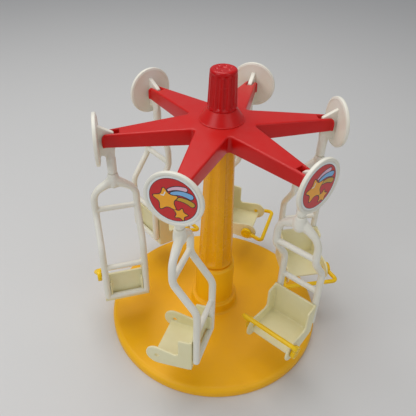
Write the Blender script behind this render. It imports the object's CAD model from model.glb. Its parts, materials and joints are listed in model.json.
# %% [markdown]
# # A toy merry-go-round, piece by piece
# The toy is a handful of moulded plastic pieces: a yellow base and post, a red six-armed rotor with a knob,
# and six white hangers that each carry a round sign, a bent frame, a cream seat and mostly a yellow bar.
# The exact solids come first as a fixed frame. They settle every place and every joint, so each piece below
# is worked out at its real spot, in millimetres, and only the last step turns millimetres into metres.

# %% Tools and the fixed frame
import json

import bmesh
import bpy
import numpy as np
from mathutils import Matrix, Vector
from mathutils.geometry import tessellate_polygon


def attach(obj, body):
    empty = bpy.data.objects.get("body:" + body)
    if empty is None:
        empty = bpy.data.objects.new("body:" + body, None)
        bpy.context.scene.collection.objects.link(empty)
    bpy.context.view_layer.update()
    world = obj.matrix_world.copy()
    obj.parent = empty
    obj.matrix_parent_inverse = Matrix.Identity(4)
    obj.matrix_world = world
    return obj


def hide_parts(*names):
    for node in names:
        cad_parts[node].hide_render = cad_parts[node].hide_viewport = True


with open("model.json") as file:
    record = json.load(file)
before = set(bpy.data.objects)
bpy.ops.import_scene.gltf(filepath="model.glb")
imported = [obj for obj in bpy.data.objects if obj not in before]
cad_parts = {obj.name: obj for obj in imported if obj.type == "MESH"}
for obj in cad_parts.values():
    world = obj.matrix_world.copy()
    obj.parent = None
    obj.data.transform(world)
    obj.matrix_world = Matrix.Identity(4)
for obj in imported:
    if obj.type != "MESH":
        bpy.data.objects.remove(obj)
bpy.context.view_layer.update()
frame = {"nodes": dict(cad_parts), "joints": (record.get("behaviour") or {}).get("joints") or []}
joints = {j["name"]: j for j in frame["joints"]}
MM = 0.001                               # metres in a millimetre
ARMS = range(1, 7)
WITH_BAR = (1, 2, 3, 4, 6)
print("joints:", len(joints), "nodes:", len(frame["nodes"]))

# %% [markdown]
# ## The camera
# The toy is seen from above, about 36 degrees down, from roughly half a metre away. A camera is a place, three
# directions and a lens. The directions are built as unit vectors, so that pitch, the slight roll and the heading
# each stay a plain angle that can be read and changed.

# %% Camera
PITCH, ROLL, HEADING = np.radians([36.257, 1.021, -10.515])
EYE = np.array([-13.676, -296.39, 348.92])


def about_z(points, angle):
    """Turns points (or one point) about the Z axis by an angle in radians: x' = x cos - y sin, y' = x sin + y cos."""
    c, s = np.cos(angle), np.sin(angle)
    p = np.asarray(points, float)
    return np.stack([p[..., 0] * c - p[..., 1] * s, p[..., 0] * s + p[..., 1] * c, p[..., 2]], -1)


back = np.array([0, -np.cos(PITCH), np.sin(PITCH)])
right = np.array([1.0, 0, 0])
up = np.cross(back, right)
tilted_right = np.cos(ROLL) * right + np.sin(ROLL) * up
tilted_up = -np.sin(ROLL) * right + np.cos(ROLL) * up
axes = about_z(np.array([tilted_right, tilted_up, back]), HEADING)
camera_data = bpy.data.cameras.new("camera")
camera_data.lens, camera_data.sensor_width = 41.025, 36
camera_data.shift_x, camera_data.shift_y = 0.01769, -0.0382
camera_data.clip_start = 0.01
camera = bpy.data.objects.new("camera", camera_data)
bpy.context.scene.collection.objects.link(camera)
camera.matrix_world = Matrix.Translation(Vector(about_z(EYE, HEADING) * MM)) @ Matrix(axes.T.tolist()).to_4x4()
bpy.context.scene.camera = camera
print("camera", [round(v, 3) for v in camera.location])

# %% [markdown]
# ## Light and floor
# Glossy plastic shows its shape by what it mirrors, so the light is soft and large: one broad lamp above, a weaker
# one from the left, and an even grey world that keeps the shadows open. The floor is a plain pale sheet.

# %% Light and floor


def lamp(name, place, target, size, power, colour=(1, 1, 1)):
    """A square soft lamp at place, in metres, that faces target."""
    data = bpy.data.lights.new(name, "AREA")
    data.size, data.energy, data.color = size, power, colour
    obj = bpy.data.objects.new(name, data)
    obj.location = place
    obj.rotation_euler = (Vector(target) - Vector(place)).to_track_quat("-Z", "Y").to_euler()
    bpy.context.scene.collection.objects.link(obj)


lamp("lamp_above", (-0.15, 0.25, 1.1), (0, 0, 0.1), 0.9, 7.0, (1, 0.98, 0.95))
lamp("lamp_left", (-0.9, -0.5, 0.7), (0, 0, 0.1), 0.6, 3.2, (0.95, 0.97, 1))
lamp("lamp_front", (0.5, -0.9, 0.6), (0, 0, 0.1), 0.7, 1.6)
world = bpy.data.worlds.new("room")
bpy.context.scene.world = world
world.use_nodes = True
world.node_tree.nodes["Background"].inputs["Color"].default_value = (0.92, 0.94, 1, 1)
world.node_tree.nodes["Background"].inputs["Strength"].default_value = 0.30
bpy.context.scene.view_settings.view_transform = "Standard"

# %% [markdown]
# ## Shader maths as plain sums
# A finish is a small network of nodes. Written as sums it reads like any formula: the class below wraps one socket,
# and adding, taking away or multiplying makes the Math node. A second class makes every other kind of node.

# %% Sums on sockets


def feed(tree, slot, value):
    """Gives a socket a link if the value is a Sock, and otherwise the plain value."""
    if isinstance(value, Sock):
        tree.links.new(value.socket, slot)
    else:
        slot.default_value = value


class Sock:
    """One output socket on which +, - and * build Math nodes, whichever side a plain number stands on."""

    def __init__(self, tree, socket):
        self.tree, self.socket = tree, socket

    def sum(self, operation, a, b=0.0, clamp=False):
        node = self.tree.nodes.new("ShaderNodeMath")
        node.operation, node.use_clamp = operation, clamp
        for slot, value in zip(node.inputs, (a, b)):
            feed(self.tree, slot, value)
        return Sock(self.tree, node.outputs[0])

    def __add__(self, other):
        return self.sum("ADD", self, other)

    def __radd__(self, other):
        return self.sum("ADD", other, self)

    def __sub__(self, other):
        return self.sum("SUBTRACT", self, other)

    def __rsub__(self, other):
        return self.sum("SUBTRACT", other, self)

    def __mul__(self, other):
        return self.sum("MULTIPLY", self, other)

    def __rmul__(self, other):
        return self.sum("MULTIPLY", other, self)

    def clipped(self):
        """The same number, held between 0 and 1."""
        return self.sum("ADD", self, 0.0, clamp=True)


class Finish:
    """A material under construction: node() adds any node, and set() feeds the plastic's own sockets."""

    def __init__(self, name):
        self.material = bpy.data.materials.new(name)
        self.material.use_nodes = True
        self.tree = self.material.node_tree
        self.shader = self.tree.nodes["Principled BSDF"]

    def node(self, kind, settings=(), output=0, **values):
        """Adds a node of a kind: its settings are set first, then its sockets get numbers, colours or links."""
        made = self.tree.nodes.new("ShaderNode" + kind)
        for key, value in dict(settings).items():
            setattr(made, key, value)
        for key, value in values.items():
            name = key.replace("_", " ")
            feed(self.tree, made.inputs[int(key[1:])] if key[1:].isdigit() else made.inputs[name], value)
        return Sock(self.tree, made.outputs[output])

    def set(self, **values):
        """Gives the shader's own sockets their numbers, colours or links."""
        for key, value in values.items():
            feed(self.tree, self.shader.inputs[key.replace("_", " ")], value)

    def noise(self, where, scale, detail=2.0, rough=0.5):
        """A soft random pattern of about scale cells in each metre."""
        return self.node("TexNoise", Vector=where, Scale=scale, Detail=detail, Roughness=rough)

    def between(self, factor, a, b):
        """Colour that goes from a to b as factor goes from 0 to 1."""
        return self.node("Mix", {"data_type": "RGBA"}, output=2, i0=factor, i6=a, i7=b)


def linear(r, g, b):
    """Screen colour from 0 to 255 as the shader's linear colour."""
    v = np.array([r, g, b]) / 255
    return (*np.where(v <= 0.04045, v / 12.92, ((v + 0.055) / 1.055) ** 2.4), 1.0)


# %% [markdown]
# ## Moulded plastic
# All the big pieces are injection-moulded. Such plastic is nearly one colour, but not quite: the melt leaves faint
# clouds, years of hands leave fine scratches and slightly duller patches, and dust settles on what faces up.
# So colour, roughness and bump all follow noises of different grain: clouds of about 3 cm, a skin of under 1 mm,
# and thin scratches made from a noise that is stretched far more one way than the other.

# %% Moulded plastic


def moulded(name, colour, shade, rough, cloud=0.35, skin=0.25, scratch=0.5, dust=0.0):
    """Plastic of a colour that drifts towards shade, with clouds, scratches, a fine skin and settled dust."""
    f = Finish(name)
    place = f.node("TexCoord", output=3)
    clouds = f.noise(place, 34.0, 3.0)
    blotch = f.noise(place, 150.0, 2.0)
    grain = f.noise(place, 1700.0, 2.0, 0.6)
    lines = 0
    for turn, scale in (((0.3, 0.2, 0.9), (60, 1500, 300)), ((0.9, 1.2, 0.1), (1300, 80, 260))):
        along = f.node("Mapping", {"vector_type": "POINT"}, Vector=place, Rotation=turn, Scale=scale)
        thin = (f.noise(along, 1.0, 1.0) - 0.68) * 9.0
        lines = thin.clipped() + lines
    marks = (lines * blotch * 1.3).clipped()
    tint = ((clouds - 0.35) * (2.2 * cloud) + (blotch - 0.5) * (0.6 * cloud)).clipped()
    body = f.between(tint, colour, shade)
    if dust:
        facing = f.node("SeparateXYZ", output=2, Vector=f.node("NewGeometry", output=1))
        settled = (facing * (blotch + clouds - 0.55) * dust).clipped()
        body = f.between(settled, body, (0.55, 0.50, 0.42, 1))
    pale = tuple(min(1.0, c * 0.9 + 0.08) for c in colour[:3]) + (1.0,)
    body = f.between(marks * (0.16 * scratch), body, pale)
    relief = grain * skin + blotch * 1.4 - marks * (1.5 * scratch)
    bump = f.node("Bump", Height=relief, Strength=0.35, Distance=0.00005)
    dull = clouds * 0.10 + blotch * 0.08 + marks * (0.22 * scratch) + (rough - 0.09)
    f.set(Base_Color=body, Roughness=dull.clipped(), Normal=bump, Specular_IOR_Level=0.35)
    return f.material


yellow_base = moulded("plastic_yellow_base", linear(255, 190, 0), linear(244, 172, 0), 0.42, dust=0.03)
yellow_post = moulded("plastic_yellow_post", linear(250, 178, 0), linear(236, 156, 0), 0.28, cloud=0.45)
red_star = moulded("plastic_red_star", linear(206, 10, 6), linear(190, 2, 2), 0.32, dust=0.04, scratch=0.8)
red_knob = moulded("plastic_red_knob", linear(196, 2, 6), linear(176, 0, 4), 0.24, skin=0.12, scratch=0.3)
white_hanger = moulded("plastic_white_hanger", linear(238, 236, 224), linear(230, 224, 200), 0.30, cloud=0.6)
cream_seat = moulded("plastic_cream_seat", linear(238, 232, 190), linear(228, 216, 160), 0.38, cloud=0.6)
yellow_bar = moulded("plastic_yellow_bar", linear(250, 205, 12), linear(240, 184, 4), 0.28, cloud=0.5)
white_washer = moulded("plastic_white_washer", linear(225, 225, 220), linear(205, 205, 200), 0.5)
print("moulded finishes:", 8)

# %% [markdown]
# ## Steel and printed paper
# The hidden spindle and its ring are turned steel: the lathe leaves fine rings round it, so the roughness and the
# bump follow a wave that runs along its length. The labels are inks on coated paper: flat colours with a fine
# screen of dots and a little wear, under a thin gloss.

# %% Steel and ink


def turned_steel(name):
    """Steel whose roughness and bump follow fine turned rings along its length."""
    f = Finish(name)
    place = f.node("TexCoord", output=3)
    rings = f.node("TexWave", {"wave_type": "BANDS", "bands_direction": "Z"}, Vector=place, Scale=900.0,
                   Distortion=1.5, Detail=2.0)
    smear = f.noise(place, 300.0)
    f.set(Base_Color=f.between(smear, (0.55, 0.55, 0.56, 1), (0.66, 0.66, 0.68, 1)), Metallic=1.0,
          Roughness=rings * 0.12 + smear * 0.08 + 0.18,
          Normal=f.node("Bump", Height=rings, Strength=0.2, Distance=0.00002))
    return f.material


def ink(name, colour, rough=0.34):
    """Printed ink: the colour, a fine screen of dots, and faint rubbed patches."""
    f = Finish(name)
    place = f.node("TexCoord", output=3)
    dots = f.node("TexVoronoi", {"feature": "F1"}, Vector=place, Scale=3800.0)
    rubbed = f.noise(place, 420.0, 3.0)
    darker = tuple(c * 0.86 for c in colour[:3]) + (1.0,)
    body = f.between((dots * 0.35 + (rubbed - 0.45) * 0.9).clipped(), colour, darker)
    f.set(Base_Color=body, Roughness=rubbed * 0.12 + (rough - 0.06), Coat_Weight=0.25, Coat_Roughness=0.15,
          Normal=f.node("Bump", Height=rubbed, Strength=0.15, Distance=0.00003))
    return f.material


steel = turned_steel("steel_turned")
ink_white = ink("ink_white", linear(236, 238, 236))
ink_red = ink("ink_red", linear(206, 2, 12))
ink_dark = ink("ink_dark", linear(38, 14, 34))
ink_gold = ink("ink_gold", linear(252, 172, 6))
ink_pink = ink("ink_pink", linear(232, 190, 208))
ink_blue = ink("ink_blue", linear(126, 184, 232))
ink_olive = ink("ink_olive", linear(206, 160, 24))

# %% [markdown]
# ## Surfaces from grids
# Every new piece is a grid of points worked out with numpy, or a few of them. A grid has rows and columns, and each
# square of four neighbours is a face. Where a row shrinks to a point, as at a pole, its points coincide, and merging
# them closes the surface. Pieces whose parts flow into each other are melted together with a voxel remesh and then
# relaxed, which rounds every inner corner as a mould does.

# %% Grids, profiles and paths


def grid(points, wrap=False):
    """Faces for an array of points [row, column, xyz]: every square of neighbours, and with wrap the last column
    joins the first."""
    rows, cols = points.shape[:2]
    index = np.arange(rows * cols).reshape(rows, cols)
    if wrap:
        index = np.concatenate([index, index[:, :1]], 1)
    quads = np.stack([index[:-1, :-1], index[1:, :-1], index[1:, 1:], index[:-1, 1:]], -1)
    return points.reshape(-1, 3), quads.reshape(-1, 4).tolist()


def arc(centre, radius, start, end, n=8):
    """Points on an arc, in degrees: centre + radius (cos, sin)."""
    a = np.radians(np.linspace(start, end, n + 1))
    return np.stack([centre[0] + radius * np.cos(a), centre[1] + radius * np.sin(a)], -1)


def lathe(profile, n=96, axis="z", centre=(0, 0, 0)):
    """A profile of (radius, height) pairs carried once round an axis: x = r cos t, y = r sin t."""
    p = np.asarray(profile, float)
    t = np.linspace(0, 2 * np.pi, n, endpoint=False)
    r, h = p[:, :1], np.repeat(p[:, 1:], n, 1)
    a, b = r * np.cos(t), r * np.sin(t)
    order = {"z": (a, b, h), "x": (h, a, b), "y": (b, h, a)}[axis]
    return grid(np.stack(order, -1) + np.asarray(centre, float), wrap=True)


def tube(path, radius, n=20):
    """A round tube along a path. Each ring lies across the path's tangent, turned as little as possible from the
    last, and the ends are domes that close in a point."""
    p = np.asarray(path, float)
    r = np.broadcast_to(np.asarray(radius, float), len(p)).copy()
    tangent = np.gradient(p, axis=0)
    tangent /= np.linalg.norm(tangent, axis=1, keepdims=True)
    side = np.cross(tangent, [0.0, 0.0, 1.0])
    weak = np.linalg.norm(side, axis=1) < 0.5
    side[weak] = np.cross(tangent[weak], [1.0, 0.0, 0.0])
    for i in range(1, len(p)):
        carried = side[i - 1] - tangent[i] * (side[i - 1] @ tangent[i])
        side[i] = carried / np.linalg.norm(carried)
    side[0] /= np.linalg.norm(side[0])
    other = np.cross(tangent, side)
    dome = np.radians([90, 60, 30])
    first = p[0] - tangent[0] * r[0] * 0.5 * np.sin(dome)[:, None]
    last = p[-1] + tangent[-1] * r[-1] * 0.5 * np.sin(dome[::-1])[:, None]
    p = np.concatenate([first, p, last])
    r = np.concatenate([r[0] * np.cos(dome), r, r[-1] * np.cos(dome[::-1])])
    side, other = (np.concatenate([v[:1].repeat(3, 0), v, v[-1:].repeat(3, 0)]) for v in (side, other))
    t = np.linspace(0, 2 * np.pi, n, endpoint=False)[None, :, None]
    across = side[:, None] * np.cos(t) + other[:, None] * np.sin(t)
    return grid(p[:, None] + r[:, None, None] * across, wrap=True)


def slab(outline, low, high, axis="x", hole=None):
    """A flat outline (and a hole in it) given thickness from low to high along an axis. The outline's two numbers
    are the other two axes in order."""
    loops = [np.asarray(outline, float)] + ([np.asarray(hole, float)] if hole is not None else [])
    flat = np.concatenate(loops)
    n = len(flat)
    place = "xyz".index(axis)
    tris = [tuple(t) for t in tessellate_polygon([[Vector((*q, 0)) for q in loop] for loop in loops])]
    faces = tris + [tuple(i + n for i in t[::-1]) for t in tris]
    first = 0
    for loop in loops:
        i = np.arange(len(loop)) + first
        j = np.roll(i, -1)
        faces += np.stack([i, j, j + n, i + n], -1).tolist()
        first += len(loop)
    return np.concatenate([np.insert(flat, place, h, 1) for h in (low, high)]), faces


def joined(*shapes):
    """Several shapes as one list of points and faces."""
    points, faces, first = [], [], 0
    for p, f in shapes:
        points.append(p)
        faces += [[i + first for i in face] for face in f]
        first += len(p)
    return np.concatenate(points), faces


def mirrored(shape):
    """The shape's mirror image across the plane x = 0."""
    return shape[0] * [-1, 1, 1], [list(face)[::-1] for face in shape[1]]


# %% [markdown]
# ## From arrays to pieces
# A piece gets its points in metres, loses its doubled points, and has its normals turned outwards. Smooth shading
# with sharp edges beyond 40 degrees keeps crisp corners crisp. Every piece says which body it rides on, which
# material slot it belongs to and which plain solids it stands for.

# %% Pieces and melting


def build(name, shape):
    """A mesh from a shape in millimetres, merged, closed and facing outwards."""
    mesh = bpy.data.meshes.new(name)
    mesh.from_pydata((shape[0] * MM).tolist(), [], [list(f) for f in shape[1]])
    work = bmesh.new()
    work.from_mesh(mesh)
    bmesh.ops.remove_doubles(work, verts=work.verts, dist=2e-6)
    bmesh.ops.dissolve_degenerate(work, edges=work.edges, dist=1e-7)
    bmesh.ops.recalc_face_normals(work, faces=work.faces)
    work.to_mesh(mesh)
    work.free()
    return mesh


def piece(name, shape, body, material, slot, *nodes, sharp=40):
    """Makes the object at the origin, gives it its finish, and ties it to its body and solids."""
    mesh = shape if isinstance(shape, bpy.types.Mesh) else build(name, shape)
    mesh.shade_smooth()
    mesh.set_sharp_from_angle(angle=np.radians(sharp))
    for m in material if isinstance(material, (list, tuple)) else [material]:
        mesh.materials.append(m)
    obj = bpy.data.objects.new(name, mesh)
    bpy.context.scene.collection.objects.link(obj)
    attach(obj, body)
    if nodes:
        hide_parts(*nodes)
    return obj


def melted(shape, voxel, relax):
    """Melts overlapping closed shapes into one skin on a grid of voxels, then relaxes it a few rounds."""
    temp = bpy.data.objects.new("melt", build("melt", shape))
    bpy.context.scene.collection.objects.link(temp)
    remesh = temp.modifiers.new("remesh", "REMESH")
    remesh.mode, remesh.voxel_size = "VOXEL", voxel * MM
    smooth = temp.modifiers.new("relax", "SMOOTH")
    smooth.factor, smooth.iterations = 0.5, relax
    bpy.context.view_layer.update()
    mesh = bpy.data.meshes.new_from_object(temp.evaluated_get(bpy.context.evaluated_depsgraph_get()))
    points = np.empty(len(mesh.vertices) * 3)
    mesh.vertices.foreach_get("co", points)
    corners = np.empty(len(mesh.loops), int)
    mesh.loops.foreach_get("vertex_index", corners)
    sizes = np.empty(len(mesh.polygons), int)
    mesh.polygons.foreach_get("loop_total", sizes)
    faces = [c.tolist() for c in np.split(corners, np.cumsum(sizes)[:-1])]
    bpy.data.objects.remove(temp)
    return points.reshape(-1, 3) / MM, faces


FLOOR_HALF, FLOOR_Z = 4000, -0.02        # just under the base, so that the two sheets never fight
corners = np.stack(np.meshgrid([-FLOOR_HALF, FLOOR_HALF], [-FLOOR_HALF, FLOOR_HALF], [FLOOR_Z]), -1)
floor = bpy.data.objects.new("floor", build("floor", grid(corners.reshape(2, 2, 3))))
floor_finish = Finish("floor_pale")
floor_finish.set(Base_Color=(0.66, 0.66, 0.65, 1), Roughness=0.7)
floor.data.materials.append(floor_finish.material)
bpy.context.scene.collection.objects.link(floor)

# %% [markdown]
# ## The base
# A shallow round dome with a rounded rim, a flange, and the socket that takes the post. It is a lathe shape: one
# profile, from the floor of the socket's bore, over the outside, and back along the hollow underside with its
# ring-shaped pockets. The six straight ribs between the pockets are thin slabs.

# %% Base
BASE_R, RIM_H, BASE_WALL, SOCKET_R, SOCKET_Z, FLANGE_R, FLANGE_Z = 92.0, 8.5, 2.6, 16.5, 60.0, 20.0, 22.0
PEG_R, BORE_R, BORE_Z = 12.0, 12.05, 4.0  # the post's foot, and the socket's bore that takes it
pocket_top, ring_in, ring_out, rib = RIM_H - BASE_WALL, 18.5, 89.0, 2.0
pitch = (ring_out - ring_in + rib) / 4
dome_r = np.linspace(BASE_R - 4.6, FLANGE_R + 2.6, 14)
dome = np.stack([dome_r, RIM_H + 3.5 * (1 - (dome_r - FLANGE_R) / (BASE_R - 4.5 - FLANGE_R)) ** 1.15], -1)
pockets = []
for near in ring_in + pitch * np.arange(3, -1, -1):
    far = near + pitch - rib
    pockets += [(far, 0), (far, pocket_top), (near, pocket_top), (near, 0)]
base_profile = np.concatenate([
    [(0, BORE_Z), (BORE_R, BORE_Z), (BORE_R, SOCKET_Z - 0.6), (12.6, SOCKET_Z)],
    arc((SOCKET_R - 2.2, SOCKET_Z - 0.6), 0.6, 90, 50, 4), arc((SOCKET_R - 0.9, SOCKET_Z - 2.4), 0.9, 48, 0, 4),
    [(SOCKET_R, FLANGE_Z + 1.2)], arc((SOCKET_R + 1.2, FLANGE_Z + 1.2), 1.2, 180, 270, 5),
    arc((FLANGE_R - 1.2, FLANGE_Z - 1.2), 1.2, 90, 0, 6),
    arc((FLANGE_R + 2.4, dome[-1, 1] + 2.4), 2.4, 180, 268, 6), dome[::-1],
    arc((BASE_R - 4.5, RIM_H - 4.5), 4.5, 88, 0, 14), [(BASE_R, 0.7)], arc((BASE_R - 0.7, 0.7), 0.7, 0, -90, 4),
    pockets, [(0, 0)]])
rib_in, rib_out, rib_low, rib_top = ring_in - 1, ring_out + 0.5, 0.02, pocket_top + 0.5
rib_points, rib_faces = slab([(rib_in, rib_low), (rib_out, rib_low), (rib_out, rib_top), (rib_in, rib_top)],
                             -rib / 2, rib / 2, "y")
ribs = [(about_z(rib_points, np.radians(60 * k + 30)), rib_faces) for k in range(6)]
piece("base_dome", joined(lathe(base_profile, 144), *ribs), "base", yellow_base, "yellow_base", "base_plate")

# %% [markdown]
# ## The post
# The post tapers and carries six hollow flutes. Its radius is a function of turn and height. Across a flute the
# surface is a circle of radius q whose middle lies outside the post at c, so the radius at an angle d from the
# flute's middle is c cos d - sqrt(q^2 - c^2 sin^2 d). Near the foot the flutes run out on a sloping shelf.

# %% Post
FOOT_R, TOP_R, POST_TOP, FLUTES = 14.5, 10.4, 184.0, 6
SPINDLE_R, SPINDLE_LOW, PEG_TOP = 3.05, 158.0, 57.0


def fluted(turn, count, share, depth):
    """Radius, as a share of the plain one, at each turn: 1 between flutes, less inside them."""
    half = np.radians(180 / count * share)
    q = (np.sin(half) ** 2 + (depth - 1 + np.cos(half)) ** 2) / (2 * (depth - 1 + np.cos(half)))
    c = 1 - depth + q
    d = np.abs((turn + np.pi / count) % (2 * np.pi / count) - np.pi / count)
    inside = np.maximum(q**2 - (c * np.sin(d)) ** 2, 0)
    hollow = np.where(d < half, c * np.cos(d) - np.sqrt(inside), 1.0)
    gap = 1.0 - hollow
    return 1.0 - gap**2 / (gap + 0.006)  # softens the ridges' edges


turn = np.linspace(0, 2 * np.pi, FLUTES * 48, endpoint=False)
height = np.concatenate([np.linspace(SOCKET_Z - 2, 62.2, 3), np.linspace(62.4, 68.5, 14),
                         np.linspace(72, POST_TOP - 0.6, 20)])
z, t = np.meshgrid(height, turn, indexing="ij")
plain = FOOT_R + (TOP_R - FOOT_R) * np.clip((z - SOCKET_Z) / (POST_TOP - SOCKET_Z), 0, 1)
run_out = np.clip((z - 62.6) / 5.0, 0, 1)
run_out = run_out * run_out * (3 - 2 * run_out)
radius = plain * (1 - (1 - fluted(t, FLUTES, 0.6, 0.17)) * run_out)
radius[:2] = np.minimum(radius[:2], PEG_R)
sides = np.stack([radius * np.cos(t), radius * np.sin(t), z], -1)
lid = [sides[-1] * [f, f, 0] + [0, 0, h]
       for f, h in ((0.985, POST_TOP - 0.25), (0.96, POST_TOP), (0.6, POST_TOP), (0.3, POST_TOP))]


def level_ring(r, h):
    """A circle of radius r round the axis at height h, one point for each turn."""
    return np.stack([r * np.cos(turn), r * np.sin(turn), np.full_like(turn, h)], -1)


peg = [level_ring(PEG_R, BORE_Z), level_ring(PEG_R, PEG_TOP)]
bore = [level_ring(SPINDLE_R, POST_TOP), level_ring(SPINDLE_R, SPINDLE_LOW)]
axis_line = [level_ring(0, SPINDLE_LOW), level_ring(0, BORE_Z)]
post = np.concatenate([peg, sides, lid, bore, axis_line])
piece("post_fluted", grid(post, wrap=True), "base", yellow_post, "yellow_column", "column", sharp=30)
for node, finish in (("spindle", steel), ("retaining_ring", steel), ("thrust_washer", white_washer)):
    frame["nodes"][node].data.materials.clear()
    frame["nodes"][node].data.materials.append(finish)
print("post rows and columns:", post.shape[:2])

# %% [markdown]
# ## The rotor
# The red star is one hollow moulding with rounded edges. Half an arm is enough: from the middle of a notch, round
# its small bend, along the arm's side and across the tip. From each point of that outline a section runs over the
# rounded edge to the arm's middle line, or to the slot near the tip, and the underside comes back below. Mirroring
# and turning the half gives the star, and the pieces meet on shared points.

# %% Star
ARM_R, TIP_HALF, NOTCH_R, NOTCH_BEND, STAR_Z = 83.3, 4.8, 25.1, 2.5, 196.8
SLOT_X, SLOT_HALF, EDGE, WALL, LID = 71.0, 2.9, 1.3, 1.9, 2.2
HUB_BORE, HUB_LOW, HUB_TOP, HUB_RING = 3.05, 185.15, 204.0, 11.0
tip_top = STAR_Z - ARM_R * np.tan(np.radians(4))
tip_low, root_low = tip_top - 9.9, STAR_Z - NOTCH_R * np.tan(np.radians(4)) - 12.5
lean = np.arctan2(NOTCH_R * 0.5 - TIP_HALF, ARM_R - NOTCH_R * np.cos(np.pi / 6))
notch_c = (NOTCH_R + NOTCH_BEND) * np.array([np.cos(np.pi / 6), 0.5])


def top_of(p):
    """Height of the star's top over points: a shallow cone that ends in an arc of 4 mm at the tips."""
    r = np.minimum(np.hypot(p[..., 0], p[..., 1]), ARM_R)
    cone = STAR_Z - r * (STAR_Z - tip_top + 0.01) / (ARM_R - 3.72)
    bend = tip_top - 4 + np.sqrt(np.maximum(16 - np.maximum(r - ARM_R + 4, 0) ** 2, 0))
    return np.where(r < ARM_R - 3.72, cone, bend)


def low_of(p):
    """Height of the star's lower edge: level round the hub, then rising gently to the tips, with a rounded heel."""
    r = np.minimum(np.hypot(p[..., 0], p[..., 1]), ARM_R)
    line = root_low + (tip_low - root_low) * np.clip((r - NOTCH_R) / (ARM_R - 1.5 - NOTCH_R), 0, 1)
    return line + 1.5 - np.sqrt(np.maximum(2.25 - np.maximum(r - ARM_R + 1.5, 0) ** 2, 0))


bend = arc(notch_c, NOTCH_BEND, 210, 270 - np.degrees(lean), 10)
bend_n = (notch_c - bend) / NOTCH_BEND
corner_c = np.array([ARM_R - 1.2, TIP_HALF + 1.2 * np.tan(lean) - 1.2 / np.cos(lean)])
corner = arc(corner_c, 1.2, 90 - np.degrees(lean), 0, 6)
corner_n = (corner - corner_c) / 1.2
x_run = np.concatenate([np.linspace(bend[-1, 0], SLOT_X - 2, 26)[1:], np.linspace(SLOT_X - 1.5, SLOT_X + 3, 10),
                        np.linspace(SLOT_X + 4, corner[0, 0], 10)[:-1]])
side = np.stack([x_run, bend[-1, 1] + (bend[-1, 0] - x_run) * np.tan(lean)], -1)
side_n = np.tile([np.sin(lean), np.cos(lean)], (len(side), 1))
face = np.stack([np.full(3, ARM_R), np.linspace(corner[-1, 1], SLOT_HALF + 0.3, 4)[1:]], -1)
rim = np.concatenate([bend, side, corner, face])
normal = np.concatenate([bend_n, side_n, corner_n, np.tile([1.0, 0.0], (3, 1))])
lip = 0.35  # rounding of the slot's edges
n_bend, n_slot = len(bend), len(bend) + 25
hub_ring = arc((0, 0), HUB_RING, 30, 0, n_bend - 1)
spine = np.stack([np.linspace(HUB_RING, SLOT_X - lip, n_slot - n_bend + 1)[1:], np.zeros(n_slot - n_bend)], -1)
rest = len(rim) - n_slot
slot_y, slot_x = np.linspace(0, SLOT_HALF, 6)[1:], np.linspace(SLOT_X + 1.2, ARM_R - 0.01, rest - 9)
around = np.concatenate([[(SLOT_X - lip, y) for y in slot_y], arc((SLOT_X, SLOT_HALF), lip, 180, 90, 3),
                         [(x, SLOT_HALF + lip) for x in slot_x]])
inner = np.concatenate([hub_ring, spine, around])
slot_line = np.concatenate([[(SLOT_X, y) for y in slot_y], [(SLOT_X, SLOT_HALF)] * 4,
                            [(x, SLOT_HALF) for x in slot_x]])
print("outline", rim.shape, "inner", inner.shape, "slot", slot_line.shape)


def lifted(plan, z):
    """Plan points with heights."""
    return np.concatenate([plan, np.broadcast_to(z, plan.shape[:-1])[..., None]], -1)


def ceiling(plan):
    """Height of the hollow's ceiling: the lid's thickness under the top, and none in the solid tip."""
    return np.where(plan[:, 0] < SLOT_X - WALL, top_of(plan) - LID, low_of(plan))


wall_in = rim - normal * WALL
wall_in[:, 1] = np.maximum(wall_in[:, 1], 0.4)
rows = [lifted(inner, ceiling(inner)), lifted(wall_in, ceiling(wall_in)), lifted(wall_in, low_of(wall_in) + 0.2),
        lifted(rim - normal * 0.4, low_of(rim)), lifted(rim - normal * 0.1, low_of(rim) + 0.1),
        lifted(rim, low_of(rim) + 0.4)]
for a in np.radians(np.linspace(0, 90, 8)):
    p = rim - normal * EDGE * (1 - np.cos(a))
    rows.append(lifted(p, top_of(p) - EDGE * (1 - np.sin(a))))
last = rim - normal * EDGE
for f in np.linspace(0, 1, 9)[1:]:
    p = last + (inner - last) * f
    rows.append(lifted(p, top_of(p)))
half_arm = np.stack(rows)
beside = inner[n_slot - 1:]
slot_rows = [lifted(beside, top_of(beside))]
slot_plan = np.concatenate([[(SLOT_X, 0)], slot_line])
for f in (0.45, 0.8, 1.0):
    p = beside + (slot_plan - beside) * f
    slot_rows.append(lifted(p, top_of(p) - lip * f * f))
slot_rows += [lifted(slot_plan, low_of(slot_plan) + 0.1), lifted(beside, ceiling(beside))]
hub_cap = np.stack([half_arm[0, :n_bend], half_arm[-1, :n_bend]])
half_star = joined(grid(half_arm), grid(np.stack(slot_rows)), grid(hub_cap))
whole_arm = joined(half_star, (half_star[0] * [1, -1, 1], half_star[1]))
star = joined(*[(about_z(whole_arm[0], np.radians(60 * k)), whole_arm[1]) for k in range(6)])
hub = lathe(np.concatenate([
    [(HUB_BORE, HUB_LOW), (11.7, HUB_LOW), (12, HUB_LOW + 0.35), (12, STAR_Z - 1.4), (15.6, STAR_Z - 1.5)],
    arc((16.4, STAR_Z + 0.15), 0.9, 268, 200, 5), arc((10.3, HUB_TOP - 0.4), 0.45, 25, 90, 4),
    [(8.6, HUB_TOP), (8.6, HUB_TOP - 4), (HUB_BORE, HUB_TOP - 4), (HUB_BORE, HUB_LOW)]]), 96)
piece("star_arms", joined(star, hub), "rotor", red_star, "red_rotor", "star_rotor", sharp=35)

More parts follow.
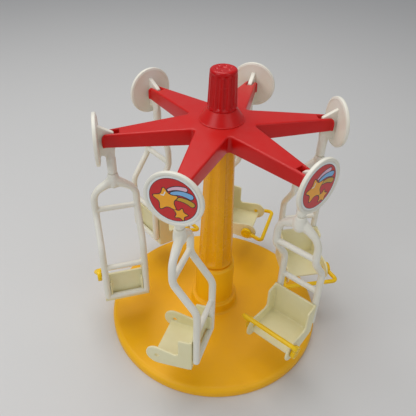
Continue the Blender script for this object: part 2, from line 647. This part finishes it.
# %% [markdown]
# ## The knob
# The knob is gripped between finger and thumb, so it has twelve flutes that end in small arches at the top. The
# radius follows the same flute formula as the post, fading out below the rounded rim, and the top is a height over
# the disc: a shallow dish in the middle and a ring of six small dimples round it.

# %% Knob
KNOB_H, KNOB_FOOT, KNOB_TOP, KNOB_EDGE, KNOB_FLUTES = 28.0, 10.4, 9.2, 1.8, 12
turn = np.linspace(0, 2 * np.pi, KNOB_FLUTES * 20, endpoint=False)
flute = 1 - fluted(turn, KNOB_FLUTES, 0.72, 0.105)
z = np.concatenate([[0.0, 0.35, 0.9], np.linspace(1.1, 3.2, 8), np.linspace(5, KNOB_H - 5, 10),
                    np.linspace(KNOB_H - 4.6, KNOB_H - KNOB_EDGE, 9)])
fade = np.clip((z - 1.1) / 2.0, 0, 1) * np.clip((KNOB_H - 2.0 - z) / 2.2, 0, 1)
plain = KNOB_FOOT + (KNOB_TOP - KNOB_FOOT) * z / KNOB_H
plain[0] -= 0.35
body_r = plain[:, None] * (1 - flute[None] * (fade * fade * (3 - 2 * fade))[:, None])
rows = [level_ring(r, h) for r, h in zip(body_r, z)]
for a in np.radians([18, 36, 54, 72, 90]):
    rows.append(level_ring(body_r[-1] - KNOB_EDGE * (1 - np.cos(a)), KNOB_H - KNOB_EDGE + KNOB_EDGE * np.sin(a)))
dimple = arc((0, 0), 4.8, 0, 300, 5)
for f in np.linspace(1, 0, 26)[1:]:
    across = level_ring(f * (body_r[-1] - KNOB_EDGE), KNOB_H)
    r = np.hypot(across[:, 0], across[:, 1])
    spots = sum(np.exp(-((across[:, 0] - x) ** 2 + (across[:, 1] - y) ** 2) / 1.1) for x, y in dimple)
    across[:, 2] -= 0.6 * spots + 0.6 / (1 + np.exp((r - 2.2) / 0.3))
    rows.append(across)
knob = grid(np.concatenate([np.zeros((1, len(turn), 3)), np.stack(rows)]) + [0, 0, HUB_TOP], wrap=True)
plug = lathe([(5.4, 200.3), (8.5, 200.3), (8.5, 204.4), (5.4, 204.4), (5.4, 200.3)], 64)
piece("knob_fluted", joined(knob, plug), "rotor", red_knob, "red_knob", "knob", sharp=35)

# %% [markdown]
# ## The sign hangers
# Each hanger is one white moulding: a round plate with a raised rim, a web that passes through the arm's slot and
# hangs there on two trunnions, and a neck that carries the seat. The plate is a lathe shape about the arm's axis.
# Web, neck and trunnions are melted together, because on the real one they flow into each other.

# %% Hangers
PIVOT_X, PIVOT_Z, SIGN_X, NECK_X, NECK_Z = 78.0, 186.025, 85.6, 78.5, 158.325
FACE_X, WEB_HALF = SIGN_X + 1.8, 1.6
plate = lathe(np.concatenate([
    [(0, SIGN_X), (16.2, SIGN_X)], arc((17.0, SIGN_X + 0.1), 0.35, 200, 330, 5),
    arc((18.1, SIGN_X + 0.55), 0.6, -80, 0, 4), arc((18.1, SIGN_X + 1.95), 0.6, 0, 60, 4),
    arc((17.5, SIGN_X + 1.7), 0.9, 70, 125, 5), [(16.45, SIGN_X + 2.0), (16.3, FACE_X), (0, FACE_X)]]),
    96, "x", (0, 0, PIVOT_Z))
web_outline = np.concatenate([
    [(86.5, 198.0), (86.4, 196.9), (85.6, 196.7), (75.4, 191.2), (74.7, 190.4), (74.7, 180.0), (75.5, 172.0),
     (75.6, 164.3), (81.4, 164.3)], arc((83.75, 171.525), 1.85, 180, 0, 10), [(85.6, 171.0), (86.5, 171.0)]])
web = slab(web_outline, -WEB_HALF, WEB_HALF, "y")
boss = lathe([(0, -2.55), (3.0, -2.55), (3.3, -2.2), (3.3, 2.2), (3.0, 2.55), (0, 2.55)], 40, "y",
             (PIVOT_X, 0, PIVOT_Z))
pins = lathe([(0, -4.2), (1.5, -4.2), (1.5, 4.2), (0, 4.2)], 32, "y", (PIVOT_X, 0, PIVOT_Z))
neck = lathe([(0, NECK_Z - 7), (1.6, NECK_Z - 7), (2, NECK_Z - 6.5), (2, NECK_Z), (2.6, NECK_Z), (3.4, NECK_Z + 0.8),
              (3.4, 170.5), (1.8, 176.5), (0, 177)], 40, "z", (NECK_X, 0, 0))
stem = melted(joined(web, boss, pins, neck), 0.36, 5)
print("hanger stem faces:", len(stem[1]))


def to_arm(points, k):
    """Turns points from the first arm's place to arm k's: 60 degrees about the post for each arm."""
    return about_z(points, np.radians(60 * (k - 1)))


hanger_points, hanger_faces = joined(plate, stem)
for k in ARMS:
    piece(f"hanger_{k}", (to_arm(hanger_points, k), hanger_faces), f"hanger_{k}", white_hanger, "white_hanger",
          f"sign_hanger_{k}", sharp=50)

# %% [markdown]
# ## The printed labels
# A label is a thin paper disc in the plate's dish: a white border, a thin dark line, and a red field with a plain
# five-pointed star, three curved streaks behind it and a small star. Each shape is a flat outline laid a few
# hundredths of a millimetre above the last, so the print stays crisp at any distance. A dark outline is the same
# shape grown along its own normals.

# %% Labels


def star_shape(centre, size, tilt, waist=0.46):
    """A five-pointed star, its corners softened by cutting them three times."""
    a = np.radians(tilt + 36 * np.arange(10))
    r = size * np.where(np.arange(10) % 2, waist, 1.0)
    p = np.stack([r * np.cos(a), r * np.sin(a)], -1)
    for _ in range(3):
        nxt = np.roll(p, -1, 0)
        p = np.stack([p * 0.8 + nxt * 0.2, p * 0.2 + nxt * 0.8], 1).reshape(-1, 2)
    return p + centre


def streak(start, end, sag, thick):
    """A curved band from start to end: half its width grows along a square root, and both ends are round."""
    start, end = np.array(start, float), np.array(end, float)
    s = np.linspace(0, 1, 22)
    across = np.array([-(end - start)[1], (end - start)[0]])
    line = start + (end - start) * s[:, None] + across * (4 * sag * s * (1 - s))[:, None]
    run = np.gradient(line, axis=0)
    run /= np.linalg.norm(run, axis=1, keepdims=True)
    out = np.stack([-run[:, 1], run[:, 0]], -1) * (thick * (0.35 + 0.65 * np.sqrt(s)))[:, None]
    tip = [line[-1] + out[-1] * np.cos(a) + run[-1] * thick * np.sin(a) for a in np.radians(np.linspace(15, 165, 9))]
    return np.concatenate([line + out, tip, (line - out)[::-1]])


def grown(outline, by):
    """The outline moved outwards along its normals."""
    run = np.roll(outline, -1, 0) - np.roll(outline, 1, 0)
    run /= np.maximum(np.linalg.norm(run, axis=1, keepdims=True), 1e-9)
    area = np.sum(outline[:, 0] * np.roll(outline[:, 1], -1) - np.roll(outline[:, 0], -1) * outline[:, 1])
    return outline + np.stack([run[:, 1], -run[:, 0]], -1) * by * np.sign(area)


def disc(r):
    """A round outline of radius r."""
    return arc((0, 0), r, 0, 360, 95)[:-1]


big, small = star_shape((-4.4, -0.6), 9.2, 100), star_shape((4.6, -8.9), 5.0, 78)
streaks = [streak((-3.2, 6.2), (7.4, 9.2), 0.10, 1.3), streak((-1.4, 4.2), (10.6, 5.0), 0.11, 1.7),
           streak((1.4, 1.4), (11.6, -0.2), 0.10, 1.6)]
glint = np.array([(-7.6, 2.5), (-6.1, 2.5), (-5.0, 5.0), (-4.4, 4.8), (-5.6, 1.8), (-7.7, 1.9)])
dark_shapes = [grown(s, 0.55) for s in [*streaks, big, small]]
inks = [ink_white, ink_dark, ink_red, ink_gold, ink_pink, ink_blue, ink_olive]
WHITE, DARK, RED, GOLD, PINK, BLUE, OLIVE = range(7)
# Each layer is an outline, its ink, and how far its face stands out from the plate's dish.
layers = [(disc(16.2), WHITE, 0.25), (disc(14.95), DARK, 0.262), (disc(14.6), RED, 0.274)]
layers += [(s, DARK, 0.284 + 0.004 * i) for i, s in enumerate(dark_shapes[:3])]
layers += [(s, m, 0.300 + 0.004 * i) for i, (s, m) in enumerate(zip(streaks, (PINK, BLUE, OLIVE)))]
layers += [(dark_shapes[3], DARK, 0.316), (dark_shapes[4], DARK, 0.316), (big, GOLD, 0.328), (small, GOLD, 0.328),
           (glint, WHITE, 0.34)]
parts = [slab(outline + [0, PIVOT_Z], FACE_X + 0.005, FACE_X + out, "x") for outline, _, out in layers]
label_points, label_faces = joined(*parts)
label_ink = np.concatenate([np.full(len(faces), m) for (_, faces), (_, m, _) in zip(parts, layers)])
for k in ARMS:
    mesh = bpy.data.meshes.new(f"label_{k}")
    mesh.from_pydata((to_arm(label_points, k) * MM).tolist(), [], label_faces)
    work = bmesh.new()
    work.from_mesh(mesh)
    bmesh.ops.recalc_face_normals(work, faces=work.faces)
    work.to_mesh(mesh)
    work.free()
    piece(f"label_{k}", mesh, f"hanger_{k}", inks, "label_print", f"sign_label_{k}", sharp=20)
    mesh.polygons.foreach_set("material_index", label_ink.astype(np.int32))
print("label shapes:", len(layers))

# %% [markdown]
# ## The seat frames
# A frame is two bent rods joined by three crossbars and a yoke. Each rod is a tube along a path of straight runs
# and arcs: up from the bottom bar, back over the seat, forward again at a lean of 36 degrees, upright, and in
# an arch to the yoke. All of it is melted into one moulding, which gives the small fillets at every joint.

# %% Frames
HALF_GAP, RAIL_BACK, RAIL_FRONT, RAIL_R = 15.65, 17.9, 1.0, 2.6
LOW_Z, BEND_LOW, ARCH_Z, BAR1_Z, BAR2_Z = 50.825, 97.017, 136.025, 127.725, 82.925
LEAN, ARCH_TURN, ARCH_R = np.radians(36), 56.0, 12.5
low_bend = arc((RAIL_BACK - 14, BEND_LOW), 14, 0, 36, 8)
lean_y = RAIL_BACK - RAIL_FRONT - 26 * (1 - np.cos(LEAN))
p2 = low_bend[-1] + lean_y / np.sin(LEAN) * np.array([-np.sin(LEAN), np.cos(LEAN)])
high_bend = arc(p2 + 12 * np.array([np.cos(LEAN), np.sin(LEAN)]), 12, 216, 180, 8)
slope = low_bend[-1] + (p2 - low_bend[-1]) * np.linspace(0.08, 0.92, 8)[:, None]
yz = np.concatenate([[(RAIL_BACK, h) for h in np.linspace(LOW_Z - 0.4, BEND_LOW - 2, 14)], low_bend, slope, high_bend,
                     [(RAIL_FRONT, 132.0), (RAIL_FRONT, 134.5)]])
upright = np.insert(yz, 0, HALF_GAP, 1)
over = arc((HALF_GAP - ARCH_R, ARCH_Z), ARCH_R, 0, ARCH_TURN, 10)
run = np.array([-np.sin(np.radians(ARCH_TURN)), np.cos(np.radians(ARCH_TURN))])
sleeve = over[-1] + run * np.linspace(1, 10.5, 6)[:, None]
top_path = np.insert(np.concatenate([over, sleeve]), 1, RAIL_FRONT, 1)
rail_r = np.concatenate([np.full(len(upright) + 8, RAIL_R), np.linspace(2.65, 2.95, 3), np.linspace(3.0, 3.4, 6)])
rail = tube(np.concatenate([upright, top_path]), rail_r)


def crossbar(y, z, r):
    """A level rod between the two rails, of radius r."""
    return tube(np.stack([np.linspace(-HALF_GAP, HALF_GAP, 9), np.full(9, y), np.full(9, z)], -1), r)


yoke = np.concatenate([[(-3.2, 155.0), (-10.4, 148.0)], arc((0, 127.6), 19.3, 121, 59, 12),
                       [(10.4, 148.0), (3.2, 155.0)]])
yoke_web = slab(yoke, RAIL_FRONT - 2.2, RAIL_FRONT + 2.2, "y")
cup = lathe([(0, 145.9), (3.3, 146.2), (4.6, 149.0), (4.5, 153.2), (3.75, 157.6), (3.3, 158.0), (0, 158.0)], 40)
crossbars = [crossbar(RAIL_FRONT, BAR1_Z, 2.2), crossbar(RAIL_BACK, BAR2_Z, 2.2), crossbar(RAIL_BACK, LOW_Z, 2.4)]
frame_shape = melted(joined(rail, mirrored(rail), *crossbars, yoke_web, cup), 0.46, 5)
print("frame faces:", len(frame_shape[1]))
SEAT_TURN = {k: 0.0 for k in ARMS} | {4: 6.0, 6: 9.0}


def on_neck(shape, k):
    """Carries a shape from the seat's own place, where the neck's axis is Z, to its arm and its resting turn."""
    return to_arm(about_z(shape[0], np.radians(SEAT_TURN[k])) + [NECK_X, 0, 0], k), shape[1]


for k in ARMS:
    piece(f"frame_{k}", on_neck(frame_shape, k), f"chair_{k}", white_hanger, "white_hanger", f"seat_frame_{k}",
          sharp=60)

# %% [markdown]
# ## The seats
# A seat is a thin cream tub: a pan, a back and two side panels that step down to a round front with a hole for the
# bar's pin, and two clips that grip the frame's rods. The panels are outlines given thickness, and melting them
# together rounds the corners between them.

# %% Seats
SEAT_HALF, SEAT_WALL, SEAT_REAR, HOLE_Y, HOLE_Z = 18.2, 1.7, 15.0, -12.3, 46.225
cheek = np.concatenate([
    [(15.0, 44.0)], np.stack([np.full(7, 15.0), np.linspace(48, 70.6, 7)], -1), arc((14.0, 70.6), 1.0, 20, 90, 4),
    arc((6.7, 68.825), 2.0, 90, 180, 8), [(4.7, 62.0)], arc((1.7, 55.925), 3.0, 0, -90, 8),
    arc((HOLE_Y, HOLE_Z), 8.7, 88, 274, 40), [(-4.0, 38.6), (4.0, 39.9)], arc((11.5, 44.725), 3.5, -82, 0, 8)])
cheek_panel = slab(cheek, SEAT_HALF - SEAT_WALL, SEAT_HALF, "x", hole=arc((HOLE_Y, HOLE_Z), 1.8, 0, 360, 28)[:-1])
inside = SEAT_HALF - 0.1
pan = slab([(-inside, -15.4), (inside, -15.4), (inside, 14.9), (-inside, 14.9)], 42.1, 43.85, "z")
seat_back = slab([(-inside, 42.1), (inside, 42.1), (inside, 72.2), (inside - 0.6, 72.4), (0.6 - inside, 72.4),
                  (-inside, 72.2)], SEAT_REAR - SEAT_WALL, SEAT_REAR, "y")
clip_arc = arc((HALF_GAP, RAIL_BACK), RAIL_R + 0.1, 290.1, 148, 12)
CLIP_LOW, CLIP_TOP = 53.6, 66.6
clip = slab(np.concatenate([[(11.55, 14.6), (16.56, 14.6)], clip_arc, [(12.9, 19.4), (12.0, 19.2), (11.55, 18.6)]]),
            CLIP_LOW, CLIP_TOP, "z")
seat_shape = melted(joined(cheek_panel, mirrored(cheek_panel), pan, seat_back, clip, mirrored(clip)), 0.44, 3)
print("seat faces:", len(seat_shape[1]))
for k in ARMS:
    piece(f"seat_tub_{k}", on_neck(seat_shape, k), f"chair_{k}", cream_seat, "cream_seat", f"seat_{k}", sharp=60)

# %% [markdown]
# ## The safety bars
# A bar is a round rod bent into a U. It turns on two pins in the seat's sides, and a round boss with a ring groove
# covers each pin. The rod's path is two sides that spread outwards, two bends and a crossbar. At rest the bars lie
# between level and 30 degrees below it, as they happened to be left, and the bar of the last seat is folded up.

# %% Bars
BAR_X, REACH, BAR_R, BAR_BEND, SPREAD, SIDE_START = 20.3, 16.2, 1.8, 3.0, 3.5, 4.0
splay = np.arctan2(SPREAD, REACH - SIDE_START)
bend_run = BAR_BEND / np.tan((np.pi / 2 - splay) / 2)
bar_corner = np.array([BAR_X + SPREAD, -REACH])
turn_in = arc(bar_corner + [-bend_run, BAR_BEND], BAR_BEND, np.degrees(splay), -90, 9)
side_first = np.array([BAR_X, -SIDE_START])
side_run = side_first + (turn_in[0] - side_first) * np.linspace(0.03, 0.92, 6)[:, None]
half_path = np.concatenate([side_run, turn_in, [(12.0, -REACH), (6.0, -REACH)]])
whole = np.concatenate([half_path, [(0, -REACH)], (half_path * [-1, 1])[::-1]])
rod = tube(np.insert(whole, 2, 0.0, 1), BAR_R, 24)
BOSS_IN, BOSS_OUT = 18.5, 22.1
cap = lathe(np.concatenate([
    [(0, BOSS_IN), (4.6, BOSS_IN), (5, BOSS_IN + 0.4)], arc((4.3, BOSS_OUT - 0.7), 0.7, 0, 80, 5),
    arc((3.0, BOSS_OUT - 0.05), 0.6, -10, -170, 6), arc((1.6, BOSS_OUT - 0.72), 0.72, 60, 110, 4),
    [(0, BOSS_OUT)]]), 48, "x")
pin = lathe([(0, 16.4), (1.5, 16.4), (1.75, 16.7), (1.75, 19.4), (0, 19.4)], 32, "x")
bar_shape = joined(rod, cap, pin, mirrored(cap), mirrored(pin))
BAR_ANGLE = {1: 0.0, 2: -8.0, 3: -16.0, 4: -30.0, 6: 62.0}
for k in WITH_BAR:
    a = np.radians(-BAR_ANGLE[k])
    x, y, z = bar_shape[0].T
    tilted = np.stack([x, y * np.cos(a) - z * np.sin(a) + HOLE_Y, y * np.sin(a) + z * np.cos(a) + HOLE_Z], -1)
    piece(f"bar_u_{k}", on_neck((tilted, bar_shape[1]), k), f"bar_{k}", yellow_bar, "yellow_bar", f"safety_bar_{k}",
          sharp=50)
